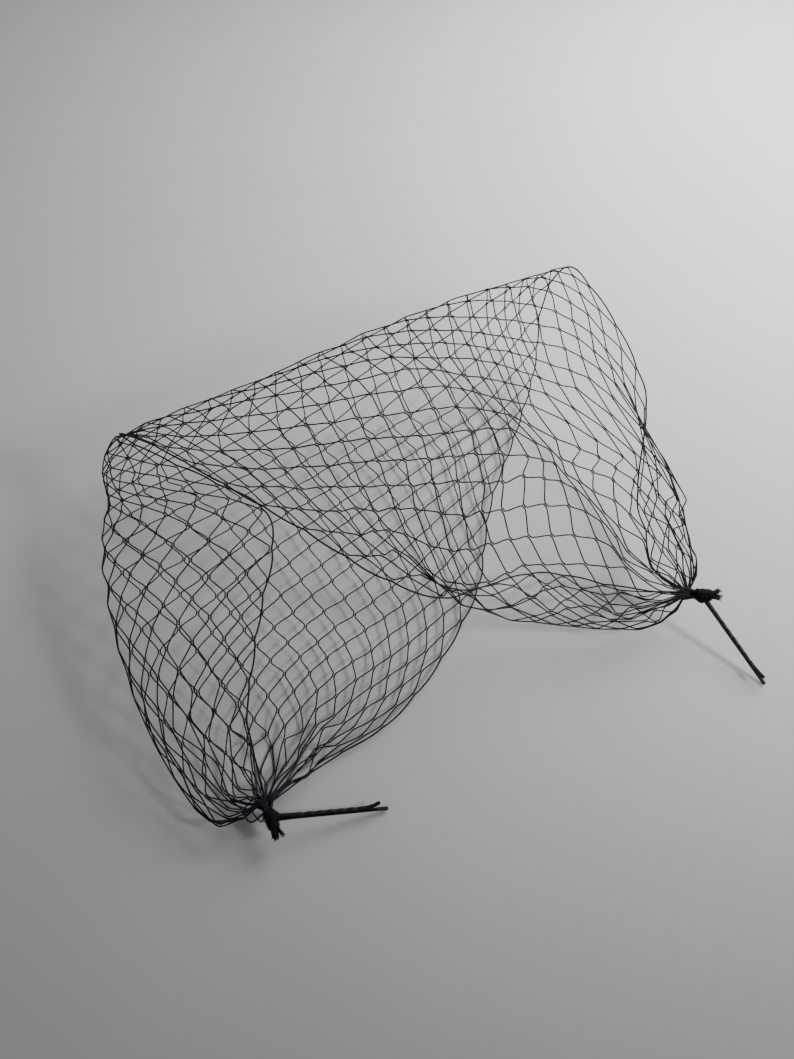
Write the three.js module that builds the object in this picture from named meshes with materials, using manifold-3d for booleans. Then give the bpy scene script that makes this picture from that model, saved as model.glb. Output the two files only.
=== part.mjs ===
// A birdcage veil: a strip of coarse diamond net, drawn together at both ends and bound to two
// bobby pins, lying folded over on a table. Millimetres, +Z up, +X to the right and +Y to the back,
// where the fold is.
import * as THREE from 'three';
import { mergeVertices } from 'three/addons/utils/BufferGeometryUtils.js';
import Module from 'manifold-3d';

// The lie of the net
const SPREAD_WIDTH = 200; // scale of the net across: every x in the tables is a share of it
const FOLD_DEPTH = 250; // from the left knot back to the fold
const FOLD_RISE = 50; // height of the open end of the fold over the table

// The net itself
const DIAMONDS_ALONG = 10;
const DIAMONDS_ACROSS = 6;
const SIDE_STEPS = 2; // straight steps that follow the curve along one side of a diamond
const NET_WALL = 1.2;
const STRAND_WIDTH = 2.8;
const SELVEDGE_WIDTH = 2.6; // the strand along each edge of the strip
const LEAST_OPEN = 0.3; // a diamond that would open less than this share is drawn shut
const GATHER_SHARE = 0.13; // how near the knot the outermost rows are drawn in

// The gathered ends
const GATHER_RADIUS = 3.6;
const STEM_RADIUS = 1.2;
const TUFT_LENGTH = 4.5;
const TUFT_LOCKS = 7;
const TUFT_SPREAD = 0.5;
const LOCK_RADIUS = 0.75;

// The thread bindings
const BINDING_LENGTH = 7;
const BINDING_RADIUS = 3.6;
const BINDING_TURNS = 6;
const TURN_DEPTH = 0.35;
const CLEARANCE = 0.3;

// The bobby pins
const PIN_LENGTH = 45;
const PIN_SHORT_LEG = 41.5;
const PIN_WIDTH = 1.6;
const LEG_THICKNESS = 0.9;
const LEG_GAP = 0.4;
const EYE_LENGTH = 7; // from the bend to where the legs run side by side
const EYE_RISE = 0.25; // how far the bend stands out past the legs
const CRIMP_HEIGHT = 0.55;
const CRIMP_START = 9;
const CRIMP_PITCH = 8;
const CRIMPS = 3;
const SPLAY_LENGTH = 7;
const SPLAY_HEIGHT = 2.2;
const PIN_SEAT = 1.6; // how far the bend reaches into its binding
const PIN_PLACE = 0.4; // share of the binding's length at which the pin leaves it

const ROUND_SIDES = 16;

// Where the net lies: a row for each section, from the left knot to the right one. a_at and b_at say
// where the section meets the two edges, as shares of the strip's length, because the fold runs
// across the strip at a slant. The points run from edge a to edge b, in hundredths: x of SPREAD_WIDTH
// and y of FOLD_DEPTH from the left knot, z of FOLD_RISE from the table.
const ACROSS = ['a', 'c1', 'c2', 'c3', 'c4', 'c5', 'b'];
const SECTIONS = [
  { a_at: 0.05, b_at: 0.05, a: [13, 6, 4], c1: [7, 9, 4], c2: [0, 8, 4], c3: [-7, 4, 4],
    c4: [-13, -2, 14], c5: [-6, 1, 28], b: [0, 6, 30] },
  { a_at: 0.14, b_at: 0.12, a: [29, 16, 2], c1: [17, 20, 4], c2: [3, 20, 4], c3: [-12, 15, 6],
    c4: [-26, 12, 26], c5: [-16, 14, 54], b: [0, 16, 54] },
  { a_at: 0.26, b_at: 0.2, a: [44, 37, 2], c1: [27, 37, 4], c2: [6, 36, 6], c3: [-15, 33, 12],
    c4: [-36, 32, 40], c5: [-20, 31, 72], b: [2, 30, 76] },
  { a_at: 0.37, b_at: 0.28, a: [51, 58, 2], c1: [33, 58, 4], c2: [12, 55, 6], c3: [-14, 52, 14],
    c4: [-40, 47, 44], c5: [-24, 45, 80], b: [0, 44, 92] },
  { a_at: 0.52, b_at: 0.36, a: [62, 86, 8], c1: [44, 81, 6], c2: [20, 76, 10], c3: [-5, 69, 20],
    c4: [-32, 60, 32], c5: [-41, 55, 64], b: [-20, 53, 92] },
  { a_at: 0.62, b_at: 0.4, a: [67, 101, 60], c1: [50, 95, 60], c2: [29, 89, 60], c3: [6, 81, 58],
    c4: [-18, 73, 54], c5: [-42, 64, 54], b: [-38, 62, 84] },
  { a_at: 0.68, b_at: 0.45, a: [72, 99, 111], c1: [56, 94, 121], c2: [36, 87, 121],
    c3: [15, 79, 118], c4: [-6, 70, 111], c5: [-26, 62, 106], b: [-26, 56, 112] },
  { a_at: 0.76, b_at: 0.55, a: [86, 76, 76], c1: [71, 81, 100], c2: [53, 77, 116],
    c3: [35, 71, 140], c4: [17, 61, 140], c5: [1, 52, 128], b: [-2, 44, 116] },
  { a_at: 0.85, b_at: 0.7, a: [85, 56, 36], c1: [93, 56, 56], c2: [75, 60, 84], c3: [57, 57, 120],
    c4: [40, 50, 124], c5: [25, 40, 112], b: [30, 31, 84] },
  { a_at: 0.885, b_at: 0.77, a: [85, 50, 30], c1: [94, 50, 47], c2: [79, 54, 78],
    c3: [62, 52, 112], c4: [46, 42, 112], c5: [40, 30, 72], b: [46, 37, 34] },
  { a_at: 0.92, b_at: 0.84, a: [84, 44, 24], c1: [95, 44, 38], c2: [82, 49, 68], c3: [68, 47, 96],
    c4: [56, 37, 76], c5: [55, 30, 30], b: [61, 44, 6] },
  { a_at: 0.96, b_at: 0.94, a: [87, 38, 26], c1: [93, 40, 40], c2: [87, 41, 54], c3: [79, 39, 56],
    c4: [75, 32, 36], c5: [78, 30, 10], b: [76, 34, 6] },
];

// The two gathered ends: where each knot lies, in the same shares, which way its tuft points and
// which way its pin goes, as headings from +X towards +Y and slopes above the table, in degrees.
const ENDS = {
  left: { knot: [0, 0, 18], tuft_heading: -65, tuft_slope: -8, pin_heading: 7, pin_slope: -9,
    pin_roll: 35 },
  right: { knot: [90, 35, 36], tuft_heading: -5, tuft_slope: 4, pin_heading: -52, pin_slope: -22,
    pin_roll: -35 },
};

const wasm = await Module();
wasm.setup();

function toSolid(geometry) {
  const bare = geometry.clone();
  bare.deleteAttribute('normal');
  bare.deleteAttribute('uv');
  const merged = mergeVertices(bare, 1e-5);
  return new wasm.Manifold(new wasm.Mesh({
    numProp: 3,
    vertProperties: new Float32Array(merged.attributes.position.array),
    triVerts: new Uint32Array(merged.index.array),
  }));
}

function toGeometry(solid) {
  const mesh = solid.getMesh();
  const geometry = new THREE.BufferGeometry();
  geometry.setAttribute('position', new THREE.BufferAttribute(mesh.vertProperties, 3));
  geometry.setIndex(new THREE.BufferAttribute(mesh.triVerts, 1));
  geometry.computeVertexNormals();
  return geometry;
}

function place([x, y, z]) {
  return new THREE.Vector3(
    (x / 100) * SPREAD_WIDTH, (y / 100) * FOLD_DEPTH, (z / 100) * FOLD_RISE);
}

function direction(heading, slope) {
  const turn = THREE.MathUtils.degToRad(heading);
  const rise = THREE.MathUtils.degToRad(slope);
  return new THREE.Vector3(
    Math.cos(turn) * Math.cos(rise), Math.sin(turn) * Math.cos(rise), Math.sin(rise));
}

// The net's middle surface: a smooth curve through the sections' points, both ways
function sectionPoints() {
  const rows = SECTIONS.map((section) => ACROSS.map((name) => place(section[name])));
  const drawnIn = (row, end) => row.map(
    (point) => place(end.knot).lerp(point, GATHER_SHARE));
  return [drawnIn(rows[0], ENDS.left), ...rows, drawnIn(rows[rows.length - 1], ENDS.right)];
}

const ROWS = sectionPoints();
const A_AT = [0, ...SECTIONS.map((section) => section.a_at), 1];
const B_AT = [0, ...SECTIONS.map((section) => section.b_at), 1];

function curvePoint(points, at) {
  const last = points.length - 1;
  const start = Math.min(Math.max(Math.floor(at), 0), last - 1);
  const t = at - start;
  const here = points[start];
  const next = points[start + 1];
  const before = points[start - 1] ?? here.clone().multiplyScalar(2).sub(next);
  const after = points[start + 2] ?? next.clone().multiplyScalar(2).sub(here);
  const blend = (p, q, r, s) => 0.5 * (2 * q + (r - p) * t
    + (2 * p - 5 * q + 4 * r - s) * t * t + (3 * q - p - 3 * r + s) * t * t * t);
  return new THREE.Vector3(
    blend(before.x, here.x, next.x, after.x),
    blend(before.y, here.y, next.y, after.y),
    blend(before.z, here.z, next.z, after.z));
}

function rowAt(along, across) {
  const stops = A_AT.map((a, k) => a + (B_AT[k] - a) * across);
  const next = stops.findIndex((stop) => stop > along);
  if (next < 0) return stops.length - 1;
  return next - 1 + (along - stops[next - 1]) / (stops[next] - stops[next - 1]);
}

function netPoint(along, across) {
  const row = rowAt(along, across);
  const section = ACROSS.map((name, k) => curvePoint(ROWS.map((points) => points[k]), row));
  return curvePoint(section, across * (ACROSS.length - 1));
}

function netNormal(along, across) {
  const step = 0.002;
  const [low, high] = [Math.max(along - step, 0), Math.min(along + step, 1)];
  const [left, right] = [Math.max(across - step, 0), Math.min(across + step, 1)];
  const forward = netPoint(high, across).sub(netPoint(low, across));
  const sideways = netPoint(along, right).sub(netPoint(along, left));
  return forward.cross(sideways).normalize();
}

// The net is a grid of half diamonds: joints lie where the two counts add up to an even number, and
// a diamond, or half of one at an edge, lies round each point where they add up to an odd number.
const HALVES_ALONG = 2 * DIAMONDS_ALONG;
const HALVES_ACROSS = 2 * DIAMONDS_ACROSS;

function netVertices() {
  const positions = [];
  const known = new Map();
  const index = (i, j, side) => {
    const key = `${i.toFixed(5)},${j.toFixed(5)},${side}`;
    if (!known.has(key)) {
      const [along, across] = [i / HALVES_ALONG, j / HALVES_ACROSS];
      const point = netPoint(along, across);
      point.addScaledVector(netNormal(along, across), (side * NET_WALL) / 2);
      known.set(key, positions.length / 3);
      positions.push(point.x, point.y, point.z);
    }
    return known.get(key);
  };
  return { positions, index };
}

function cellCorners(i, j) {
  return [[i - 1, j], [i, j + 1], [i + 1, j], [i, j - 1]].filter(
    ([p, q]) => p >= 0 && p <= HALVES_ALONG && q >= 0 && q <= HALVES_ACROSS);
}

function cellOutline(corners) {
  const outline = [];
  corners.forEach(([i, j], k) => {
    const [iNext, jNext] = corners[(k + 1) % corners.length];
    const onEdge = i === iNext || j === jNext;
    const steps = onEdge ? 2 * SIDE_STEPS : SIDE_STEPS;
    for (let step = 0; step < steps; step += 1) {
      const t = step / steps;
      outline.push({ i: i + (iNext - i) * t, j: j + (jNext - j) * t, free: onEdge });
    }
  });
  return outline;
}

function openShare(corners, centre, rim) {
  const points = corners.map(([i, j]) => netPoint(i / HALVES_ALONG, j / HALVES_ACROSS));
  const middle = netPoint(centre.i / HALVES_ALONG, centre.j / HALVES_ACROSS);
  let area = 0;
  let round = 0;
  points.forEach((point, k) => {
    const next = points[(k + 1) % points.length];
    area += new THREE.Triangle(point, next, middle).getArea();
    round += point.distanceTo(next);
  });
  return 1 - rim / ((2 * area) / round);
}

function netGeometry() {
  const { positions, index } = netVertices();
  const faces = [];
  const quad = (p, q, r, s) => faces.push(p, q, r, p, r, s);
  for (let i = 0; i <= HALVES_ALONG; i += 1) {
    for (let j = 0; j <= HALVES_ACROSS; j += 1) {
      if ((i + j) % 2 === 0) continue;
      const corners = cellCorners(i, j);
      const outline = cellOutline(corners);
      const centre = {
        i: corners.reduce((sum, corner) => sum + corner[0], 0) / corners.length,
        j: corners.reduce((sum, corner) => sum + corner[1], 0) / corners.length,
      };
      const rimWidth = corners.length < 4 ? SELVEDGE_WIDTH : STRAND_WIDTH / 2;
      const share = openShare(corners, centre, rimWidth);
      const inward = ({ i: p, j: q }) => ({
        i: centre.i + (p - centre.i) * share, j: centre.j + (q - centre.j) * share });
      outline.forEach((here, k) => {
        const next = outline[(k + 1) % outline.length];
        const [top, topNext] = [index(here.i, here.j, 1), index(next.i, next.j, 1)];
        const [base, baseNext] = [index(here.i, here.j, -1), index(next.i, next.j, -1)];
        if (share > LEAST_OPEN) {
          const [rim, rimNext] = [inward(here), inward(next)];
          const [high, highNext] = [index(rim.i, rim.j, 1), index(rimNext.i, rimNext.j, 1)];
          const [low, lowNext] = [index(rim.i, rim.j, -1), index(rimNext.i, rimNext.j, -1)];
          quad(topNext, top, high, highNext);
          quad(base, baseNext, lowNext, low);
          quad(highNext, high, low, lowNext);
        } else {
          faces.push(topNext, top, index(centre.i, centre.j, 1));
          faces.push(base, baseNext, index(centre.i, centre.j, -1));
        }
        if (here.free) quad(top, topNext, baseNext, base);
      });
    }
  }
  const geometry = new THREE.BufferGeometry();
  geometry.setAttribute('position', new THREE.Float32BufferAttribute(positions, 3));
  geometry.setIndex(faces);
  return geometry;
}

// Round pieces turned about their own z axis, then laid along the gathered end
function turned(profile, sides = ROUND_SIDES) {
  const points = profile.map(([radius, height]) => new THREE.Vector2(radius, height));
  return new THREE.LatheGeometry(points, sides).rotateX(Math.PI / 2);
}

function laidAlong(geometry, start, axis) {
  const turn = new THREE.Quaternion().setFromUnitVectors(new THREE.Vector3(0, 0, 1), axis);
  return geometry.applyQuaternion(turn).translate(start.x, start.y, start.z);
}

function endFrame(end) {
  const knot = place(end.knot);
  const axis = direction(end.tuft_heading, end.tuft_slope);
  const bindingStart = knot.clone().addScaledVector(axis, GATHER_RADIUS * 0.7 + CLEARANCE);
  const bindingEnd = bindingStart.clone().addScaledVector(axis, BINDING_LENGTH);
  const tuftStart = bindingEnd.clone().addScaledVector(axis, CLEARANCE);
  return { knot, axis, bindingStart, bindingEnd, tuftStart };
}

function gatheredEnd(end) {
  const { knot, axis, tuftStart } = endFrame(end);
  const cut = GATHER_RADIUS * 0.7;
  const lump = turned([
    [0, -GATHER_RADIUS], [GATHER_RADIUS * 0.7, -GATHER_RADIUS * 0.7], [GATHER_RADIUS, 0],
    [GATHER_RADIUS * 0.7, cut], [0, cut],
  ]);
  const stemLength = tuftStart.distanceTo(knot) + LOCK_RADIUS;
  const stem = turned([[0, 0], [STEM_RADIUS, 0], [STEM_RADIUS, stemLength], [0, stemLength]]);
  let solid = toSolid(laidAlong(lump, knot, axis)).add(toSolid(laidAlong(stem, knot, axis)));
  const collar = turned([
    [0, 0], [STEM_RADIUS * 1.3, 0], [STEM_RADIUS * 1.5, LOCK_RADIUS * 2], [0, LOCK_RADIUS * 2]]);
  solid = solid.add(toSolid(laidAlong(collar, tuftStart, axis)));
  const side = new THREE.Vector3(0, 0, 1).cross(axis).normalize();
  const up = axis.clone().cross(side);
  for (let lock = 0; lock < TUFT_LOCKS; lock += 1) {
    const round = (lock / TUFT_LOCKS) * 2 * Math.PI;
    const spread = lock === 0 ? 0 : TUFT_SPREAD;
    const lean = axis.clone()
      .addScaledVector(side, Math.cos(round) * spread)
      .addScaledVector(up, Math.sin(round) * spread)
      .normalize();
    const strip = turned([
      [0, 0], [LOCK_RADIUS, 0], [LOCK_RADIUS, TUFT_LENGTH * 0.6], [0, TUFT_LENGTH]], 6);
    solid = solid.add(toSolid(laidAlong(strip, tuftStart, lean)));
  }
  return solid;
}

// The pin lies along its own x axis from the bend to the tips, its legs one over the other in y
function pinOutline() {
  const outer = LEG_THICKNESS + LEG_GAP / 2;
  const inner = LEG_GAP / 2;
  const eyeOuter = outer + EYE_RISE;
  const eyeInner = inner + EYE_RISE;
  const crimpEnd = CRIMP_START + CRIMPS * CRIMP_PITCH;
  const lift = (x) => {
    if (x > PIN_SHORT_LEG - SPLAY_LENGTH) {
      return SPLAY_HEIGHT * ((x - PIN_SHORT_LEG + SPLAY_LENGTH) / SPLAY_LENGTH) ** 2;
    }
    if (x < CRIMP_START || x > crimpEnd) return 0;
    return (CRIMP_HEIGHT / 2) * (1 - Math.cos((2 * Math.PI * (x - CRIMP_START)) / CRIMP_PITCH));
  };
  const stops = [EYE_LENGTH, CRIMP_START];
  for (let x = CRIMP_START + CRIMP_PITCH / 4; x < PIN_SHORT_LEG; x += CRIMP_PITCH / 4) {
    stops.push(x);
  }
  stops.push(PIN_SHORT_LEG);
  const points = [
    [EYE_LENGTH, -inner], [PIN_LENGTH, -inner], [PIN_LENGTH, -outer], [EYE_LENGTH, -outer],
  ];
  const bendSteps = 6;
  for (let step = 0; step <= bendSteps; step += 1) {
    const turn = Math.PI / 2 + (Math.PI * step) / bendSteps;
    points.push([eyeOuter + Math.cos(turn) * eyeOuter, -Math.sin(turn) * eyeOuter]);
  }
  stops.forEach((x) => points.push([x, outer + lift(x)]));
  stops.reverse().forEach((x) => points.push([x, inner + lift(x)]));
  for (let step = 0; step <= 4; step += 1) {
    const turn = Math.PI / 2 + (Math.PI * step) / 4;
    points.push([eyeOuter + Math.cos(turn) * eyeInner, Math.sin(turn) * eyeInner]);
  }
  return points;
}

function pinFrame(end) {
  const { bindingStart, bindingEnd, axis } = endFrame(end);
  const ahead = direction(end.pin_heading, end.pin_slope);
  const level = new THREE.Vector3(0, 0, 1).cross(ahead).normalize();
  const upright = ahead.clone().cross(level);
  const roll = THREE.MathUtils.degToRad(end.pin_roll);
  const legs = upright.clone().multiplyScalar(Math.cos(roll))
    .addScaledVector(level, Math.sin(roll));
  const across = ahead.clone().cross(legs);
  const seat = bindingStart.clone().lerp(bindingEnd, PIN_PLACE);
  const out = ahead.clone().addScaledVector(axis, -ahead.dot(axis)).length();
  const bend = seat.addScaledVector(ahead, (BINDING_RADIUS - PIN_SEAT) / out);
  return new THREE.Matrix4().makeBasis(ahead, legs, across).setPosition(bend);
}

function pinGeometry(end) {
  const shape = new THREE.Shape(pinOutline().map(([x, y]) => new THREE.Vector2(x, y)));
  const wire = new THREE.ExtrudeGeometry(shape, { depth: PIN_WIDTH, bevelEnabled: false });
  return wire.translate(0, 0, -PIN_WIDTH / 2).applyMatrix4(pinFrame(end));
}

function bindingGeometry(end) {
  const { bindingStart, axis, tuftStart } = endFrame(end);
  const turn = BINDING_LENGTH / BINDING_TURNS;
  const profile = [[0, 0], [BINDING_RADIUS - TURN_DEPTH, 0]];
  for (let k = 0; k < BINDING_TURNS; k += 1) {
    profile.push([BINDING_RADIUS, turn * (k + 0.5)]);
    profile.push([BINDING_RADIUS - TURN_DEPTH, turn * (k + 1)]);
  }
  profile.push([0, BINDING_LENGTH]);
  const barrel = toSolid(laidAlong(turned(profile), bindingStart, axis));
  const boreRadius = STEM_RADIUS + CLEARANCE;
  const boreLength = tuftStart.distanceTo(bindingStart) + 2 * CLEARANCE;
  const bore = turned([[0, 0], [boreRadius, 0], [boreRadius, boreLength], [0, boreLength]]);
  const boreStart = bindingStart.clone().addScaledVector(axis, -2 * CLEARANCE);
  const height = 2 * (LEG_THICKNESS + EYE_RISE) + LEG_GAP + 2 * CLEARANCE;
  const depth = 2 * BINDING_RADIUS;
  const pocket = new THREE.BoxGeometry(depth, height, PIN_WIDTH + 2 * CLEARANCE);
  pocket.translate(depth / 2 - CLEARANCE, 0, 0).applyMatrix4(pinFrame(end));
  return toGeometry(barrel
    .subtract(toSolid(laidAlong(bore, boreStart, axis)))
    .subtract(toSolid(pocket)));
}

function named(name, geometry, look) {
  const mesh = new THREE.Mesh(geometry, new THREE.MeshStandardMaterial(look));
  mesh.name = name;
  return mesh;
}

const NET_LOOK = { color: 0x14161f, roughness: 0.55, metalness: 0 };
const THREAD_LOOK = { color: 0x0c0e16, roughness: 0.8, metalness: 0 };
const PIN_LOOK = { color: 0x101114, roughness: 0.4, metalness: 0.3 };

function build() {
  const net = toSolid(netGeometry())
    .add(gatheredEnd(ENDS.left))
    .add(gatheredEnd(ENDS.right));
  const veil = new THREE.Group();
  veil.add(named('net', toGeometry(net), NET_LOOK));
  Object.entries(ENDS).forEach(([side, end]) => {
    veil.add(named(`${side}_binding`, bindingGeometry(end), THREAD_LOOK));
    veil.add(named(`${side}_pin`, pinGeometry(end), PIN_LOOK));
  });
  // The veil stands on the table, over the middle of the ground that it covers
  const box = new THREE.Box3().setFromObject(veil, true);
  const middle = box.getCenter(new THREE.Vector3());
  veil.position.set(-middle.x, -middle.y, -box.min.z);
  return veil;
}

export default build();
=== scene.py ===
import math

import bpy
import numpy as np
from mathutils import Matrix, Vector


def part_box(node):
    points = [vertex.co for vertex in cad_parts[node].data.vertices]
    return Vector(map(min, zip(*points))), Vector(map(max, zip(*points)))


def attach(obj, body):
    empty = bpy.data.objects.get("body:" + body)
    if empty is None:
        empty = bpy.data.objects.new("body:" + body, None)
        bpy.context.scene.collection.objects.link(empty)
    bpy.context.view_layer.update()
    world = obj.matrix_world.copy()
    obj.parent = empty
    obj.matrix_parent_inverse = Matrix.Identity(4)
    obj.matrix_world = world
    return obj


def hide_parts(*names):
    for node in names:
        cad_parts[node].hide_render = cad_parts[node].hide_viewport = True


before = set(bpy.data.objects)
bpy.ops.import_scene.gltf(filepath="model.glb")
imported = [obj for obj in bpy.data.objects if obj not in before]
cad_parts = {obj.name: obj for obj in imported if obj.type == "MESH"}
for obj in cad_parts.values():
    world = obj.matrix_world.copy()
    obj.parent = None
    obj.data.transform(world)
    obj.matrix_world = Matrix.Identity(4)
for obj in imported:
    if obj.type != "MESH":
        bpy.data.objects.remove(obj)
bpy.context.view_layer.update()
rng = np.random.default_rng(seed=23)

# All lengths are in millimetres until a mesh is made
MM = 0.001

# The lie of the net: the CAD source's sections, with some points moved by up to 15 mm after a last
# look at the photo. a_at and b_at say how far along its two edges each section lies. Its points
# are in hundredths of these three sizes, from the left knot and up from the table.
SPREAD_WIDTH = 200
FOLD_DEPTH = 250
FOLD_RISE = 50
ACROSS = ["a", "c1", "c2", "c3", "c4", "c5", "b"]
SECTIONS = [
    dict(a_at=0.05, b_at=0.05, a=(9.5, 6, 4), c1=(7, 9, 4), c2=(0, 8, 4), c3=(-6, 3, 6),
         c4=(-10.5, -2.5, 12), c5=(-6, 1, 24), b=(-3, 6, 30)),
    dict(a_at=0.14, b_at=0.12, a=(26.5, 16, 2), c1=(17, 20, 4), c2=(3, 20, 4), c3=(-12, 15, 6),
         c4=(-25, 12, 26), c5=(-18, 14, 54), b=(-4, 16, 54)),
    dict(a_at=0.26, b_at=0.2, a=(43, 37, 2), c1=(27, 37, 4), c2=(6, 36, 6), c3=(-15, 33, 12),
         c4=(-36, 32, 40), c5=(-22, 31, 72), b=(-2, 30, 76)),
    dict(a_at=0.37, b_at=0.28, a=(48.5, 58, 2), c1=(33, 58, 4), c2=(12, 55, 6), c3=(-14, 52, 14),
         c4=(-40, 47, 44), c5=(-27, 45, 80), b=(-2, 45, 90)),
    dict(a_at=0.52, b_at=0.36, a=(61, 86, 8), c1=(44, 81, 6), c2=(20, 76, 10), c3=(-5, 69, 20),
         c4=(-35, 60, 32), c5=(-40.5, 55, 64), b=(-20, 53, 92)),
    dict(a_at=0.62, b_at=0.4, a=(64, 101, 60), c1=(49, 95, 60), c2=(29, 89, 60), c3=(6, 81, 58),
         c4=(-18, 73, 54), c5=(-41, 64, 54), b=(-37, 62, 84)),
    dict(a_at=0.68, b_at=0.45, a=(70.5, 99, 111), c1=(56, 94, 121), c2=(36, 87, 121),
         c3=(15, 79, 118), c4=(-6, 70, 111), c5=(-26, 62, 106), b=(-26, 56, 112)),
    dict(a_at=0.76, b_at=0.55, a=(84.5, 76, 76), c1=(71, 81, 100), c2=(53, 77, 116),
         c3=(35, 71, 140), c4=(17, 61, 140), c5=(1, 52, 128), b=(-2, 44, 116)),
    dict(a_at=0.85, b_at=0.7, a=(83, 56, 36), c1=(90.5, 56, 56), c2=(75, 60, 84), c3=(57, 57, 120),
         c4=(40, 50, 124), c5=(25, 40, 112), b=(30, 31, 84)),
    dict(a_at=0.885, b_at=0.77, a=(84, 50, 30), c1=(91.5, 50, 47), c2=(79, 54, 78),
         c3=(62, 52, 112), c4=(46, 42, 112), c5=(40, 30, 72), b=(46, 37, 34)),
    dict(a_at=0.92, b_at=0.84, a=(84, 44, 24), c1=(93, 44, 38), c2=(82, 49, 68),
         c3=(68, 47, 96), c4=(56, 37, 76), c5=(62, 30, 22), b=(61, 42, 6)),
    dict(a_at=0.96, b_at=0.94, a=(87, 38, 26), c1=(93, 40, 40), c2=(87, 41, 54),
         c3=(79, 39, 56), c4=(75, 32, 36), c5=(83, 30.5, 18), b=(78, 38.5, 9)),
]

# How wide the net still is at the knots, as a share of its outermost sections
GATHER_SHARE = 0.13

# The two ends, with headings from +X towards +Y, slopes and rolls in degrees
ENDS = {
    "left": dict(knot=(0, 0, 18), tuft_heading=-65, tuft_slope=-8, pin_heading=7,
                 pin_slope=-9, pin_roll=35),
    "right": dict(knot=(90, 35, 36), tuft_heading=-5, tuft_slope=4, pin_heading=-52,
                  pin_slope=-22, pin_roll=-10),
}

# The crease from the ridge to the right knot, placed by rows and columns of the sections
PLEAT_COLUMN = 3.0
PLEAT_HALF_WIDTH = 0.3
PLEAT_FROM = 7.4
PLEAT_TO = 12.8
PLEAT_HEIGHT = 4.5
GATHERING = 0.7
GATHERING_HALF_WIDTH = 0.6

# Steps of the fine table that the surface is read from
FINE_PER_ROW = 12
FINE_PER_COLUMN = 16

# The real net
DIAMONDS_ALONG = 26
DIAMONDS_ACROSS = 18
DIAMOND_SIDE = 10.8
YARN_RADIUS = 0.31
YARN_BEND = 0.28
YARN_STEPS = (0.14, 0.38, 0.62, 0.86)
YARN_SWAY = 0.1
YARN_UNEVENNESS = 0.03
JOINT_HALF_GAP = 0.5
JOINT_HALF_LENGTH = 0.85
CROWDING = 0.3
RUNG_RADIUS = 0.2
RUNG_STEPS = (-0.72, 0.0, 0.72)
RUNG_OVERHANG = 0.12
RUNG_LIFT = 0.2
LEAST_RUNG = 0.2
SELVEDGE_RADIUS = 0.38
SCALLOP = 1.0
SCALLOP_POINTS = 8
ROOMY_STEP = 4.5

# How the joints slide over the surface, and how far they stray from it, most beside the knots
SLIDES = 400
LONGEST_SLIDE = 0.2
SMOOTHING = 0.5
STRAYING = 0.28
TANGLE = 1.4
TANGLE_AT = 2.5
TANGLE_REACH = 1.6
LOWEST_JOINT = 0.65
TABLE_GAP = 0.05

# The gathered ends and their bindings
GATHER_RADIUS = 3.6
NECK_SHARE = 0.7
CLEARANCE = 0.3
BINDING_LENGTH = 7
BUNDLE_RADIUS = 1.75
TUFT_LEAN = 0.25
TUFT_REACH = (0.8, 2.8)
EDGE_TAIL = 3.5
FILAMENTS = 3
FILAMENT_RADIUS = 0.09
FILAMENT_REACH = (0.5, 1.5)
THREAD_RADIUS = 0.17
CORE_RADIUS = 2.0
POINTS_A_TURN = 18
EYE_BULGE = 1.15
WRAPS = [
    dict(turns=17, radius=2.15, first=0.0, last=1.0, slant=0.0, phase=0.0),
    dict(turns=12, radius=2.4, first=0.95, last=0.05, slant=0.12, phase=1.0),
    dict(turns=4, radius=2.62, first=0.2, last=0.62, slant=0.9, phase=0.6),
    dict(turns=4, radius=2.62, first=0.66, last=0.24, slant=-0.9, phase=2.4),
]

# Loops of net that slipped out beside the left binding: points round from its knot
STRAY_LOOPS = [
    [(0, 1, 0), (-3.3, 0.3, -1), (-6, 0.3, -4), (-5.5, -2.3, -6), (-2.4, -5.3, -7),
     (-1.1, -4.3, -5.5), (0, -3.2, -3)],
    [(-1, 2.5, 0), (-5.1, 2.5, -2), (-7.7, 0.9, -5), (-9.7, -1.2, -6.5), (-8.1, -4.4, -7.6),
     (-6, -5.3, -7.6), (-3.6, -4.2, -6.5), (-0.6, -2.2, -3)],
]

# The bobby pins, with a bead of enamel on each tip
PIN_LENGTH = 45
PIN_SHORT_LEG = 41.5
PIN_WIDTH = 1.6
PIN_PLACE = 0.4
PIN_STAND_OFF = 2.0
LEG_THICKNESS = 0.9
LEG_GAP = 0.4
EYE_LENGTH = 7
EYE_RISE = 0.25
CRIMP_DEPTH = 0.3
CRIMP_START = 9
CRIMP_PITCH = 4.2
CRIMPS = 6
SPLAY_LENGTH = 7
SPLAY_HEIGHT = 2.2
TIP_STEPS = (0, 0.12, 0.3, 0.6, 1.2, 2)
TIP_SWELL = (0.3, 0.72, 0.95, 1.04, 1.05, 1.02)
WIRE_SIDES = 16

# The camera stands as the photograph's did. The last two are pixels of the photo's frame.
CAMERA_AIM = (52, 131, 0)
CAMERA_DISTANCE = 398
CAMERA_ELEVATION = math.radians(60)
SENSOR = 36
FOCAL_PIXELS = 820
PHOTO_HEIGHT_PIXELS = 1059

UV_NAME = "length_and_round"


def unit(v):
    v = np.asarray(v, float)
    return v / np.maximum(np.linalg.norm(v, axis=-1, keepdims=True), 1e-9)


def place(point):
    return np.array(point, float) / 100 * (SPREAD_WIDTH, FOLD_DEPTH, FOLD_RISE)


def direction(heading, slope):
    turn, rise = math.radians(heading), math.radians(slope)
    return np.array([math.cos(turn) * math.cos(rise), math.sin(turn) * math.cos(rise),
                     math.sin(rise)])


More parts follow.
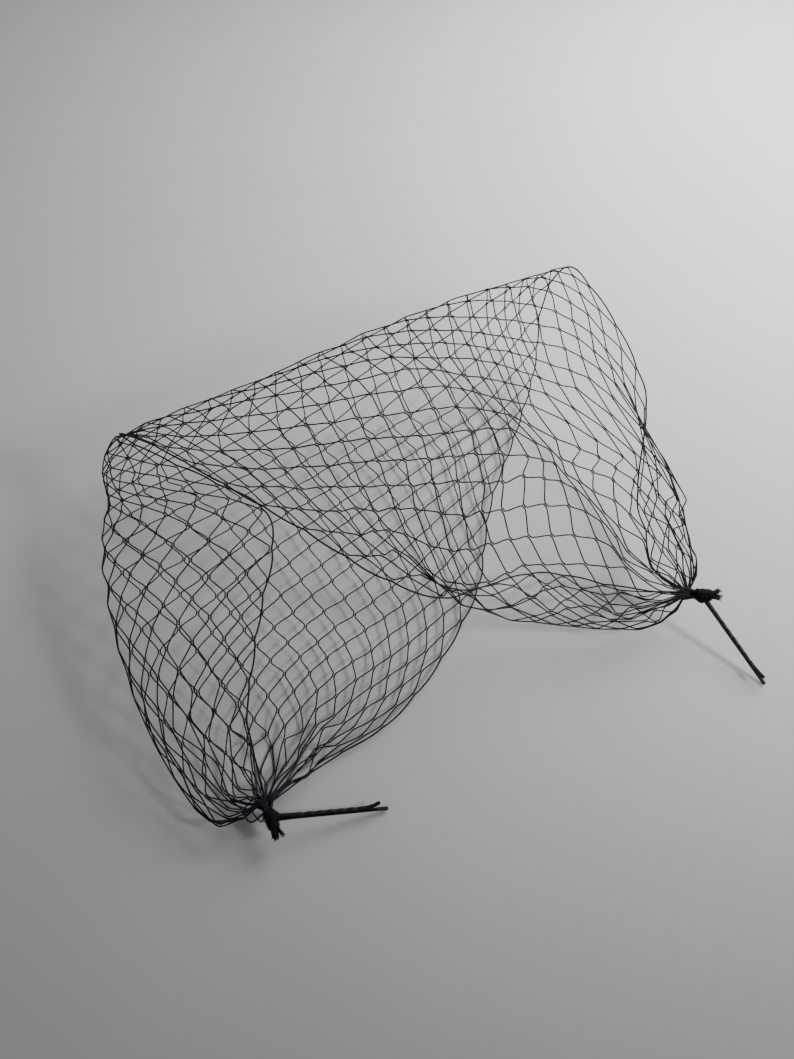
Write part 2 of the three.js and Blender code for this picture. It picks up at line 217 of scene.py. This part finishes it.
def spline(points, x):
    """A smooth curve through the points, read at x, counted in points from the first."""
    count = len(points)
    k = int(min(max(math.floor(x), 0), count - 2))
    t = x - k
    p1, p2 = points[k], points[k + 1]
    p0 = points[k - 1] if k > 0 else 2 * p1 - p2
    p3 = points[k + 2] if k + 2 < count else 2 * p2 - p1
    return 0.5 * (2 * p1 + (p2 - p0) * t + (2 * p0 - 5 * p1 + 4 * p2 - p3) * t * t
                  + (3 * p1 - p0 - 3 * p2 + p3) * t ** 3)


def binding_ends(end):
    """Where a binding begins and ends, and which way it points."""
    axis = direction(end["tuft_heading"], end["tuft_slope"])
    start = place(end["knot"]) + axis * (GATHER_RADIUS * NECK_SHARE + CLEARANCE)
    return start, start + axis * BINDING_LENGTH, axis


def frame_shift():
    """From the table's own coordinates to the frame, read off the two bindings."""
    shifts = []
    for side, end in ENDS.items():
        low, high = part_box(f"{side}_binding")
        start, stop, _ = binding_ends(end)
        shifts.append((np.array(low) + np.array(high)) / 2 / MM - (start + stop) / 2)
    return np.mean(shifts, axis=0)


SHIFT = frame_shift()
FLOOR = -SHIFT[2]


# The net's surface

ROW_COUNT = len(SECTIONS) + 2
FINE_ROWS = np.linspace(0, ROW_COUNT - 1, FINE_PER_ROW * (ROW_COUNT - 1) + 1)
FINE_ACROSS = np.linspace(0, len(ACROSS) - 1, FINE_PER_COLUMN * (len(ACROSS) - 1) + 1)


def section_rows():
    """The sections' points, with a narrow row of them at each knot."""
    rows = [[place(section[column]) for column in ACROSS] for section in SECTIONS]
    left, right = place(ENDS["left"]["knot"]), place(ENDS["right"]["knot"])
    first = [left + GATHER_SHARE * (p - left) for p in rows[0]]
    last = [right + GATHER_SHARE * (p - right) for p in rows[-1]]
    return np.array([first, *rows, last])


def pleat_fade(row):
    """How far the crease has formed at a row: nothing at its two ends, 1 in its middle."""
    return np.sin(np.pi * np.clip((row - PLEAT_FROM) / (PLEAT_TO - PLEAT_FROM), 0, 1)) ** 0.7


def fine_surface():
    """The surface through the sections as a fine table of points, with its crease raised."""
    sections = section_rows()
    table = np.array([spline(sections, row) for row in FINE_ROWS]).transpose(1, 0, 2)
    table = np.array([spline(table, across) for across in FINE_ACROSS]).transpose(1, 0, 2)
    outward = unit(np.cross(np.gradient(table, axis=0), np.gradient(table, axis=1)))
    crest = np.exp(-((FINE_ACROSS - PLEAT_COLUMN) / PLEAT_HALF_WIDTH) ** 2)
    return table + outward * (PLEAT_HEIGHT * pleat_fade(FINE_ROWS)[:, None] * crest)[..., None]


FINE = fine_surface()
FINE_BY_ROW = np.gradient(FINE, FINE_ROWS, axis=0)
FINE_BY_ACROSS = np.gradient(FINE, FINE_ACROSS, axis=1)


def on_surface(table, row, across):
    """A table of values over the surface, read at any (row, across)."""
    p = np.clip(row / FINE_ROWS[1], 0, len(FINE_ROWS) - 1.001)
    q = np.clip(across / FINE_ACROSS[1], 0, len(FINE_ACROSS) - 1.001)
    i, j = p.astype(int), q.astype(int)
    p, q = (p - i)[..., None], (q - j)[..., None]
    return (table[i, j] * (1 - p) + table[i + 1, j] * p) * (1 - q) \
        + (table[i, j + 1] * (1 - p) + table[i + 1, j + 1] * p) * q


# The net's joints, on a grid of half diamonds where every second place is one

HALVES_ALONG = 2 * DIAMONDS_ALONG
HALVES_ACROSS = 2 * DIAMONDS_ACROSS
HALF_ROWS, HALF_COLUMNS = np.indices((HALVES_ALONG + 1, HALVES_ACROSS + 1))
IS_JOINT = (HALF_ROWS + HALF_COLUMNS) % 2 == 0


def diamond_sides():
    """The grid numbers of the two joints that each diamond side runs between."""
    number = HALF_ROWS * (HALVES_ACROSS + 1) + HALF_COLUMNS
    firsts, seconds = [], []
    for step in (-1, 1):
        beside = HALF_COLUMNS + step
        ok = IS_JOINT & (HALF_ROWS < HALVES_ALONG) & (beside >= 0) & (beside <= HALVES_ACROSS)
        firsts.append(number[ok])
        seconds.append(number[ok] + HALVES_ACROSS + 1 + step)
    return np.concatenate(firsts), np.concatenate(seconds)


def first_places():
    """The row and column on the surface that each place of the grid starts from."""
    along = (HALF_ROWS / HALVES_ALONG).ravel()
    share = (HALF_COLUMNS / HALVES_ACROSS).ravel()
    at = np.array([(0, 0)] + [(section["a_at"], section["b_at"]) for section in SECTIONS] + [(1, 1)])
    row = np.array([np.interp(s, at[:, 0] * (1 - v) + at[:, 1] * v, np.arange(len(at)))
                    for s, v in zip(along, share)])
    across = share * (len(ACROSS) - 1)
    off = across - PLEAT_COLUMN
    drawn = GATHERING * pleat_fade(row) * off * np.exp(-(off / GATHERING_HALF_WIDTH) ** 2)
    return row, across - drawn


def slid_joints():
    """The joints, slid over the surface until the sides of the diamonds are as even as it lets
    them be. The two ends stay in their rows, and the two edges in their columns."""
    first, second = diamond_sides()
    share = np.maximum(np.bincount(np.concatenate([first, second])), 1)[:, None]
    row, across = first_places()
    home_row, home_across = row.copy(), across.copy()
    ends = ((HALF_ROWS == 0) | (HALF_ROWS == HALVES_ALONG)).ravel()
    edges = ends | ((HALF_COLUMNS == 0) | (HALF_COLUMNS == HALVES_ACROSS)).ravel()
    for _ in range(SLIDES):
        points = on_surface(FINE, row, across)
        by_row = on_surface(FINE_BY_ROW, row, across)
        by_across = on_surface(FINE_BY_ACROSS, row, across)
        gap = points[second] - points[first]
        length = np.linalg.norm(gap, axis=1)
        pull = (0.5 * (length - DIAMOND_SIDE) / length)[:, None] * gap
        move = np.zeros_like(points)
        np.add.at(move, first, pull)
        np.add.at(move, second, -pull)
        move /= share
        a, b, c = (by_row ** 2).sum(1) + 1, (by_row * by_across).sum(1), (by_across ** 2).sum(1) + 1
        p, q = (move * by_row).sum(1), (move * by_across).sum(1)
        spread = a * c - b * b
        by_row_move, by_across_move = (c * p - b * q) / spread, (a * q - b * p) / spread
        for value, home, step, held in ((row, home_row, by_row_move, ends),
                                        (across, home_across, by_across_move, edges)):
            drift = value - home + np.clip(step, -LONGEST_SLIDE, LONGEST_SLIDE)
            around = np.bincount(first, drift[second], len(drift)) \
                + np.bincount(second, drift[first], len(drift))
            drift = (1 - SMOOTHING) * drift + SMOOTHING * around / share[:, 0]
            value[:] = home + np.where(held, 0, drift)
        across = np.clip(across, 0, len(ACROSS) - 1)
    return on_surface(FINE, row, across).reshape(*HALF_ROWS.shape, 3)


def strayed(grid):
    """The joints moved a little at random, a lot beside the knots, and none into the table."""
    inwards = np.minimum(HALF_ROWS, HALVES_ALONG - HALF_ROWS)[..., None]
    beside_knot = np.exp(-((inwards - TANGLE_AT) / TANGLE_REACH) ** 2)
    amount = np.clip(inwards / 2, 0, 1) * (STRAYING + TANGLE * beside_knot)
    grid = grid + amount * rng.normal(0, 1, grid.shape)
    grid[..., 2] = np.maximum(grid[..., 2], FLOOR + LOWEST_JOINT)
    return grid


def filled_between(grid):
    """The grid with each place that is no joint put amid the joints round it."""
    padded = np.pad(grid, ((1, 1), (1, 1), (0, 0)))
    known = np.pad(IS_JOINT, 1)[..., None].astype(float)
    total = np.zeros_like(grid)
    seen = np.zeros(grid.shape[:2] + (1,))
    for down, right in ((0, 1), (2, 1), (1, 0), (1, 2)):
        part = slice(down, down + grid.shape[0]), slice(right, right + grid.shape[1])
        total += padded[part] * known[part]
        seen += known[part]
    return np.where(IS_JOINT[..., None], grid, total / np.maximum(seen, 1))


def directions_on(grid):
    """At each place: along the net, across it, out of it, and the distance to the next column."""
    along = unit(np.gradient(grid, axis=0))
    slope_across = np.gradient(grid, axis=1)
    slope_across -= (slope_across * along).sum(-1, keepdims=True) * along
    sideways = unit(slope_across)
    return along, sideways, unit(np.cross(along, sideways)), np.linalg.norm(slope_across, axis=-1)


GRID = filled_between(strayed(slid_joints()))
ALONG, SIDEWAYS, OUTWARD, COLUMN_STEP = directions_on(GRID)


# Meshes from arrays

def tubes(paths, radius, sides):
    """Round tubes along paths (tube, point, 3). Returns corners, quads, caps and the quads' UVs."""
    paths = np.asarray(paths, float)
    count, steps, _ = paths.shape
    radius = np.broadcast_to(np.asarray(radius, float), (count, steps))
    tangent = unit(np.gradient(paths, axis=1))
    guide = np.where(np.abs(tangent[:, 0, 2:3]) < 0.9, (0, 0, 1), (1, 0, 0))
    normal = unit(np.cross(tangent[:, 0], guide))
    normals = [normal]
    for k in range(1, steps):
        normal = unit(normal - (normal * tangent[:, k]).sum(-1, keepdims=True) * tangent[:, k])
        normals.append(normal)
    normals = np.stack(normals, 1)
    binormals = np.cross(tangent, normals)
    angle = 2 * np.pi * np.arange(sides) / sides
    ring = normals[:, :, None] * np.cos(angle)[:, None] \
        + binormals[:, :, None] * np.sin(angle)[:, None]
    corners = paths[:, :, None] + radius[..., None, None] * ring
    return corners.reshape(-1, 3), *tube_faces(paths, sides)


def tube_faces(paths, sides):
    """The faces of tubes along paths: quads, end caps and the quads' UVs."""
    count, steps, _ = paths.shape
    number = np.arange(count * steps * sides).reshape(count, steps, sides)
    after = np.roll(number, -1, axis=2)
    quads = np.stack([number[:, :-1], after[:, :-1], after[:, 1:], number[:, 1:]], -1)
    caps = np.concatenate([number[:, 0, ::-1], number[:, -1]])
    length = np.zeros((count, steps))
    length[:, 1:] = np.cumsum(np.linalg.norm(np.diff(paths, axis=1), axis=-1), axis=1)
    low = np.broadcast_to(length[:, :-1, None], quads.shape[:3])
    high = np.broadcast_to(length[:, 1:, None], quads.shape[:3])
    round_low = np.broadcast_to(np.arange(sides) / sides, quads.shape[:3])
    round_high = round_low + 1 / sides
    uv = np.stack([np.stack([low, round_low], -1), np.stack([low, round_high], -1),
                   np.stack([high, round_high], -1), np.stack([high, round_low], -1)], 3)
    return quads.reshape(-1, 4), caps, uv.reshape(-1, 4, 2)


def mesh_object(name, pieces, material):
    """One smooth object from (corners, quads, caps, uv) pieces, in the frame, in metres."""
    corners = np.concatenate([piece[0] for piece in pieces])
    starts = np.cumsum([0] + [len(piece[0]) for piece in pieces[:-1]])
    faces, uvs = [], []
    for start, (_, quads, caps, uv) in zip(starts, pieces):
        faces.append(quads + start)
        uvs.append(uv.reshape(-1, 2))
        faces.append(caps + start)
        uvs.append(np.zeros((caps.size, 2)))
    loops = np.concatenate([face.ravel() for face in faces])
    sizes = np.concatenate([np.full(len(face), face.shape[1]) for face in faces])
    begins = np.concatenate([[0], np.cumsum(sizes)[:-1]])
    mesh = bpy.data.meshes.new(name)
    mesh.vertices.add(len(corners))
    mesh.vertices.foreach_set("co", ((corners + SHIFT) * MM).astype(np.float32).ravel())
    mesh.loops.add(len(loops))
    mesh.loops.foreach_set("vertex_index", loops.astype(np.int32))
    mesh.polygons.add(len(sizes))
    mesh.polygons.foreach_set("loop_start", begins.astype(np.int32))
    mesh.polygons.foreach_set("loop_total", sizes.astype(np.int32))
    mesh.polygons.foreach_set("use_smooth", np.ones(len(sizes), bool))
    layer = mesh.uv_layers.new(name=UV_NAME)
    layer.uv.foreach_set("vector", np.concatenate(uvs).astype(np.float32).ravel())
    mesh.update(calc_edges=True)
    mesh.validate()
    mesh.materials.append(material)
    piece = bpy.data.objects.new(name, mesh)
    bpy.context.scene.collection.objects.link(piece)
    return piece


# Yarns

YARNS = np.arange(HALVES_ACROSS)


def joint_sides(row):
    """For every yarn in a row: its joint's column, and the side of the joint that it runs on."""
    columns = YARNS + (row + YARNS) % 2
    return columns, np.where(columns == YARNS, 1.0, -1.0)


def half_gap(row, columns):
    """How far a joint's yarns are from its middle, which is less where the net is crowded."""
    return np.minimum(JOINT_HALF_GAP, CROWDING * COLUMN_STEP[row, columns])


def joint_points(row, step):
    """Where every yarn is, step millimetres along from its joint in that row."""
    columns, side = joint_sides(row)
    return GRID[row, columns] + SIDEWAYS[row, columns] * (side * half_gap(row, columns))[:, None] \
        + ALONG[row, columns] * step


def yarn_bodies():
    """The yarns between the two knots, as a list of rows of points, one point a yarn."""
    parts = []
    for row in range(HALVES_ALONG):
        here = joint_points(row, JOINT_HALF_LENGTH)
        there = joint_points(row + 1, -JOINT_HALF_LENGTH)
        columns, after = joint_sides(row)[0], joint_sides(row + 1)[0]
        reach = np.linalg.norm(there - here, axis=1, keepdims=True) * YARN_BEND
        lean_here = ALONG[row, columns] * reach
        lean_there = ALONG[row + 1, after] * reach
        sway = rng.normal(0, YARN_SWAY, here.shape)
        parts.append(here)
        for t in YARN_STEPS:
            curve = (2 * t ** 3 - 3 * t ** 2 + 1) * here + (t ** 3 - 2 * t ** 2 + t) * lean_here \
                + (3 * t ** 2 - 2 * t ** 3) * there + (t ** 3 - t ** 2) * lean_there
            parts.append(curve + sway * math.sin(math.pi * t))
        parts.append(there)
    return parts


def bundle_spots(end, points):
    """Each yarn's place in the round of the bundle, kept on the side that it comes from."""
    _, _, axis = binding_ends(end)
    away = points - place(end["knot"])
    away -= (away @ axis)[:, None] * axis
    reach = np.linalg.norm(away, axis=1, keepdims=True)
    order = np.argsort(np.argsort(reach[:, 0]))
    radius = BUNDLE_RADIUS * np.sqrt((order + 0.5) / len(order))
    return unit(away + rng.normal(0, 0.5, away.shape)) * radius[:, None]


def tails(end, points):
    """From the last joints through the binding to the cut ends, as a list of rows of points."""
    start, stop, axis = binding_ends(end)
    spots = bundle_spots(end, points)
    spots -= (spots @ axis)[:, None] * axis
    lean = unit(axis + TUFT_LEAN * spots / BUNDLE_RADIUS * rng.uniform(0.4, 1.6, (len(spots), 1))
                + rng.normal(0, 0.12, spots.shape))
    reach = rng.uniform(*TUFT_REACH, (len(spots), 1))
    knots = np.array([
        points, start - axis * 1.2 + spots * 1.25, start + axis * 1.2 + spots * 0.9,
        stop - axis * 1.2 + spots * 0.9, stop + axis * 0.5 + spots,
        stop + axis * 0.8 + spots + lean * reach])
    return [spline(knots, x) for x in np.linspace(0, len(knots) - 1, 14)[1:]]


def net_yarns():
    """Every yarn from cut end to cut end, with its radius at each point."""
    body = yarn_bodies()
    left = tails(ENDS["left"], body[0])
    right = tails(ENDS["right"], body[-1])
    paths = np.array(left[::-1] + body + right).transpose(1, 0, 2)
    paths[..., 2] = np.maximum(paths[..., 2], FLOOR + YARN_RADIUS + TABLE_GAP)
    radius = np.full(paths.shape[:2], YARN_RADIUS)
    radius *= 1 + rng.normal(0, YARN_UNEVENNESS, radius.shape)
    return paths, radius


def rungs():
    """The short cross threads that tie two neighbouring yarns into a joint."""
    paths = []
    for i in range(1, HALVES_ALONG):
        for j in range(HALVES_ACROSS + 1):
            reach = half_gap(i, j) + RUNG_OVERHANG
            if not IS_JOINT[i, j] or reach < LEAST_RUNG:
                continue
            for step in RUNG_STEPS:
                middle = GRID[i, j] + ALONG[i, j] * (step + rng.normal(0, 0.07))
                across = SIDEWAYS[i, j] * reach
                up = OUTWARD[i, j] * RUNG_LIFT * (1 if rng.random() < 0.5 else -1)
                paths.append([middle - across, middle + up, middle + across])
    return np.array(paths)


def selvedge(column, side):
    """The thick cord along one edge: an arc from each edge joint to the next."""
    rows = np.arange(0, HALVES_ALONG + 1, 2)
    out = SIDEWAYS[rows, column] * side
    joints = GRID[rows, column] + out * JOINT_HALF_GAP
    roomy = np.clip(COLUMN_STEP[rows, column] / ROOMY_STEP, 0, 1)
    points = []
    for k in range(len(rows) - 1):
        for t in np.arange(SCALLOP_POINTS) / SCALLOP_POINTS:
            bulge = SCALLOP * min(roomy[k], roomy[k + 1]) * math.sin(math.pi * t) ** 0.8
            across = out[k] * (1 - t) + out[k + 1] * t
            points.append(spline(joints, k + t) + across * bulge)
    points.append(joints[-1])
    left, right = ([start, (start + stop) / 2, stop + axis * EDGE_TAIL]
                   for start, stop, axis in map(binding_ends, ENDS.values()))
    path = np.array(left[::-1] + points + right)
    path[:, 2] = np.maximum(path[:, 2], FLOOR + SELVEDGE_RADIUS + TABLE_GAP)
    return path[None]


def stray_loops():
    knot = place(ENDS["left"]["knot"])
    paths = []
    for loop in STRAY_LOOPS:
        points = knot + np.array(loop, float)
        paths.append([spline(points, x) for x in np.linspace(0, len(points) - 1, 29)])
    return np.array(paths)


def frayed_ends(paths):
    """Fine filaments standing out of each cut yarn."""
    hairs = []
    for tip, before in ((paths[:, 0], paths[:, 2]), (paths[:, -1], paths[:, -3])):
        lean = unit(tip - before)
        for _ in range(FILAMENTS):
            way = unit(lean + rng.normal(0, 0.35, lean.shape))
            reach = rng.uniform(*FILAMENT_REACH, (len(tip), 1))
            hairs.append(np.stack([tip - lean * 0.4, tip + way * reach * 0.5,
                                   tip + unit(way + rng.normal(0, 0.3, way.shape)) * reach], 1))
    return np.concatenate(hairs)


# Wound thread

def binding_wraps(end):
    """Turns of thread round the bundle and over the pin's eye."""
    start, stop, axis = binding_ends(end)
    pin = direction(end["pin_heading"], end["pin_slope"])
    towards = unit(pin - (pin @ axis) * axis)
    beside = np.cross(axis, towards)
    at_pin = PIN_PLACE * BINDING_LENGTH

    def wound(turns, radius, first, last, slant, phase):
        t = np.linspace(0, 1, turns * POINTS_A_TURN)
        angle = 2 * np.pi * turns * t + phase
        along = BINDING_LENGTH * (first + (last - first) * t) + slant * np.cos(angle)
        wobble = 0.09 * np.sin(2.3 * angle + phase) + 0.06 * np.sin(0.37 * angle)
        near = np.exp(-((along - at_pin) / 1.5) ** 2) * np.exp(-(np.sin(angle / 2) / 0.45) ** 2)
        distance = radius + wobble + EYE_BULGE * near
        return (start + np.outer(along, axis) + np.outer(distance * np.cos(angle), towards)
                + np.outer(distance * np.sin(angle), beside))[None]

    core = [[start + axis * x for x in np.linspace(0.2, BINDING_LENGTH - 0.2, 6)]]
    return [tubes(wound(**wrap), THREAD_RADIUS, 6) for wrap in WRAPS] \
        + [tubes(core, CORE_RADIUS, 14)]


# Bobby pins

def pin_axes(end):
    """Where a pin's bend is, and its directions: ahead, from leg to leg, and across."""
    start, stop, axis = binding_ends(end)
    ahead = direction(end["pin_heading"], end["pin_slope"])
    level = unit(np.cross((0, 0, 1), ahead))
    upright = np.cross(ahead, level)
    roll = math.radians(end["pin_roll"])
    legs = upright * math.cos(roll) + level * math.sin(roll)
    out = np.linalg.norm(ahead - axis * (ahead @ axis))
    bend = start + (stop - start) * PIN_PLACE + ahead * PIN_STAND_OFF / out
    return bend, ahead, legs, np.cross(ahead, legs)


def pin_centre_line():
    """The wire's middle, tip to tip, as (ahead, between the legs) points."""
    apart = (LEG_GAP + LEG_THICKNESS) / 2
    eye = apart + EYE_RISE
    bend_at = LEG_THICKNESS + LEG_GAP / 2 + EYE_RISE

    def narrowing(x):
        t = np.clip((x - bend_at) / (EYE_LENGTH - bend_at), 0, 1)
        return eye + (apart - eye) * (3 * t ** 2 - 2 * t ** 3)

    def lift(x):
        if x > PIN_SHORT_LEG - SPLAY_LENGTH:
            return SPLAY_HEIGHT * ((x - PIN_SHORT_LEG + SPLAY_LENGTH) / SPLAY_LENGTH) ** 2
        if x < CRIMP_START or x > CRIMP_START + CRIMPS * CRIMP_PITCH:
            return 0.0
        return -CRIMP_DEPTH / 2 * (1 - math.cos(2 * math.pi * (x - CRIMP_START) / CRIMP_PITCH))

    points = [(PIN_LENGTH - s, -apart) for s in TIP_STEPS]
    points += [(x, -narrowing(x)) for x in np.linspace(PIN_LENGTH - 4, bend_at, 16)]
    points += [(bend_at - math.sin(a) * eye, -math.cos(a) * eye)
               for a in np.linspace(0, math.pi, 12)[1:-1]]
    points += [(x, narrowing(x) + lift(x))
               for x in np.arange(bend_at, PIN_SHORT_LEG - 2.2, 0.6)]
    points += [(PIN_SHORT_LEG - s, apart + lift(PIN_SHORT_LEG - s)) for s in reversed(TIP_STEPS)]
    return np.array(points)


def pin_wire(end):
    """The wire's flat rounded section, swept along its middle."""
    bend, ahead, legs, across = pin_axes(end)
    flat = pin_centre_line()
    tangent = unit(np.gradient(flat, axis=0))
    beside = np.stack([-tangent[:, 1], tangent[:, 0]], 1)
    angle = 2 * np.pi * np.arange(WIRE_SIDES) / WIRE_SIDES
    corner = (np.abs(np.cos(angle)) ** 4 + np.abs(np.sin(angle)) ** 4) ** -0.25
    thick = LEG_THICKNESS / 2 * corner * np.cos(angle)
    wide = PIN_WIDTH / 2 * corner * np.sin(angle)
    taper = np.ones(len(flat))
    for k, swell in enumerate(TIP_SWELL):
        taper[k] = taper[-1 - k] = swell
    local = flat[:, None] + beside[:, None] * (thick * taper[:, None])[..., None]
    path = bend + np.outer(flat[:, 0], ahead) + np.outer(flat[:, 1], legs)
    corners = bend + local[..., :1] * ahead + local[..., 1:] * legs \
        + (wide * taper[:, None])[..., None] * across
    return corners.reshape(-1, 3), *tube_faces(path[None], WIRE_SIDES)


# Materials

def new_material(name):
    material = bpy.data.materials.new(name)
    material.use_nodes = True
    return material, material.node_tree, material.node_tree.nodes["Principled BSDF"]


def calculated(tree, operation, *values):
    """The output of a math node, where each value is a number or another node's output."""
    node = tree.nodes.new("ShaderNodeMath")
    node.operation = operation
    for socket, value in zip(node.inputs, values):
        if isinstance(value, bpy.types.NodeSocket):
            tree.links.new(value, socket)
        else:
            socket.default_value = value
    return node.outputs[0]


def noise(tree, scale, detail):
    """Noise over a piece in its own coordinates, with the scale in each metre."""
    spot = tree.nodes.new("ShaderNodeTexCoord")
    node = tree.nodes.new("ShaderNodeTexNoise")
    node.inputs["Scale"].default_value = scale
    node.inputs["Detail"].default_value = detail
    tree.links.new(spot.outputs["Object"], node.inputs["Vector"])
    return node.outputs["Fac"]


def set_colour(tree, shader, value, dark, light, dark_at=0.0, light_at=1.0):
    """The base colour goes from dark to light as a value goes from dark_at to light_at."""
    ramp = tree.nodes.new("ShaderNodeValToRGB")
    low, high = ramp.color_ramp.elements
    low.position = dark_at
    low.color = (*dark, 1)
    high.position = light_at
    high.color = (*light, 1)
    tree.links.new(value, ramp.inputs["Fac"])
    tree.links.new(ramp.outputs["Color"], shader.inputs["Base Color"])


def set_roughness(tree, shader, value, least, most):
    spread = tree.nodes.new("ShaderNodeMapRange")
    spread.inputs["To Min"].default_value = least
    spread.inputs["To Max"].default_value = most
    tree.links.new(value, spread.inputs["Value"])
    tree.links.new(spread.outputs["Result"], shader.inputs["Roughness"])


def set_bumps(tree, shader, height, strength, distance):
    bump = tree.nodes.new("ShaderNodeBump")
    bump.inputs["Strength"].default_value = strength
    bump.inputs["Distance"].default_value = distance * MM
    tree.links.new(height, bump.inputs["Height"])
    tree.links.new(bump.outputs["Normal"], shader.inputs["Normal"])


def twisted_yarn(name, dark, light, roughness, twist, relief, sheen):
    """Twisted fibre: two slanting plies, a few lighter fibres, uneven shine."""
    material, tree, shader = new_material(name)
    uv = tree.nodes.new("ShaderNodeUVMap")
    uv.uv_map = UV_NAME
    split = tree.nodes.new("ShaderNodeSeparateXYZ")
    tree.links.new(uv.outputs["UV"], split.inputs[0])
    along = calculated(tree, "MULTIPLY", split.outputs["X"], twist)
    turned = calculated(tree, "MULTIPLY_ADD", split.outputs["Y"], 2.0, along)
    ply = calculated(tree, "SINE", calculated(tree, "MULTIPLY", turned, 2 * math.pi))
    fibres = noise(tree, 2600, 5)
    patches = noise(tree, 45, 3)
    set_bumps(tree, shader, calculated(tree, "MULTIPLY_ADD", ply, 0.6, fibres), 0.7, relief)
    shade = calculated(tree, "MULTIPLY_ADD", fibres, 0.55, patches)
    set_colour(tree, shader, shade, dark, light, dark_at=0.55, light_at=0.98)
    set_roughness(tree, shader, patches, roughness - 0.12, roughness + 0.12)
    shader.inputs["Sheen Weight"].default_value = sheen
    shader.inputs["Sheen Roughness"].default_value = 0.4
    shader.inputs["Sheen Tint"].default_value = (*light, 1)
    shader.inputs["Specular IOR Level"].default_value = 0.2
    return material


def enamelled_wire():
    """Black enamel, worn a little uneven."""
    material, tree, shader = new_material("black_enamelled_wire")
    grain = noise(tree, 700, 6)
    set_colour(tree, shader, noise(tree, 120, 2), (0.003, 0.003, 0.004), (0.007, 0.007, 0.009),
               dark_at=0.42, light_at=0.75)
    set_roughness(tree, shader, grain, 0.36, 0.6)
    set_bumps(tree, shader, grain, 0.25, 0.03)
    shader.inputs["Specular IOR Level"].default_value = 0.2
    shader.inputs["Coat Weight"].default_value = 0.08
    shader.inputs["Coat Roughness"].default_value = 0.2
    return material


def pale_table():
    material, tree, shader = new_material("pale_table")
    set_colour(tree, shader, noise(tree, 6, 4), (0.48, 0.48, 0.46), (0.54, 0.54, 0.52))
    shader.inputs["Roughness"].default_value = 0.75
    return material


NET_YARN = twisted_yarn("navy_black_net_yarn", dark=(0.0012, 0.0016, 0.0038),
                        light=(0.007, 0.009, 0.018), roughness=0.5, twist=0.9, relief=0.05,
                        sheen=0.04)
THREAD = twisted_yarn("black_sewing_thread", dark=(0.0008, 0.0009, 0.0016),
                      light=(0.004, 0.0045, 0.007), roughness=0.68, twist=1.6, relief=0.04,
                      sheen=0.05)
WIRE = enamelled_wire()

# The veil

yarn_paths, yarn_radius = net_yarns()
net = mesh_object("net_yarns", [
    tubes(yarn_paths, yarn_radius, 5),
    tubes(rungs(), RUNG_RADIUS, 3),
    tubes(selvedge(0, -1), SELVEDGE_RADIUS, 8),
    tubes(selvedge(HALVES_ACROSS, 1), SELVEDGE_RADIUS, 8),
    tubes(stray_loops(), YARN_RADIUS, 6),
    tubes(frayed_ends(yarn_paths), FILAMENT_RADIUS, 4),
], NET_YARN)
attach(net, "root")
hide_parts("net")

for side, end in ENDS.items():
    binding = mesh_object(f"{side}_wound_thread", binding_wraps(end), THREAD)
    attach(binding, "root")
    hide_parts(f"{side}_binding")
    pin = mesh_object(f"{side}_bobby_pin", [pin_wire(end)], WIRE)
    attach(pin, "root")
    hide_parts(f"{side}_pin")

# The camera

camera = bpy.data.objects.new("camera", bpy.data.cameras.new("camera"))
bpy.context.scene.collection.objects.link(camera)
camera.data.sensor_width = SENSOR
camera.data.lens = FOCAL_PIXELS * SENSOR / PHOTO_HEIGHT_PIXELS
camera.data.clip_start = 0.01
camera.rotation_euler = (math.radians(90) - CAMERA_ELEVATION, 0, 0)
camera.location = Vector((np.array(CAMERA_AIM) + (SHIFT[0], SHIFT[1], 0)) * MM) \
    + CAMERA_DISTANCE * MM * Vector((0, -math.cos(CAMERA_ELEVATION), math.sin(CAMERA_ELEVATION)))
bpy.context.scene.camera = camera

# The stage, in metres and watts

bpy.ops.mesh.primitive_plane_add(size=6, location=(0, 0, 0))
table_top = bpy.context.active_object
table_top.name = "table_top"
table_top.data.materials.append(pale_table())


def area_light(name, towards, distance, aim, spread, size, energy, colour):
    """A square light that stands towards a direction and points at aim."""
    lamp = bpy.data.objects.new(name, bpy.data.lights.new(name, "AREA"))
    lamp.data.size = size
    lamp.data.spread = math.radians(spread)
    lamp.data.energy = energy
    lamp.data.color = colour
    lamp.location = Vector(towards).normalized() * distance
    lamp.rotation_mode = "QUATERNION"
    lamp.rotation_quaternion = (lamp.location - Vector(aim)).to_track_quat("Z", "Y")
    bpy.context.scene.collection.objects.link(lamp)


area_light("key", towards=(1.5, -0.36, 1.0), distance=1.15, aim=(0.17, 0.36, 0), spread=62,
           size=0.2, energy=2.95, colour=(1.0, 0.985, 0.96))
area_light("window", towards=(0.66, 0.8, 0.52), distance=0.6, aim=(0.05, 0.15, 0), spread=140,
           size=0.45, energy=3.4, colour=(0.97, 0.985, 1.0))
world = bpy.data.worlds.new("soft_room")
world.use_nodes = True
world.node_tree.nodes["Background"].inputs["Color"].default_value = (0.93, 0.95, 1.0, 1)
world.node_tree.nodes["Background"].inputs["Strength"].default_value = 0.19
bpy.context.scene.world = world
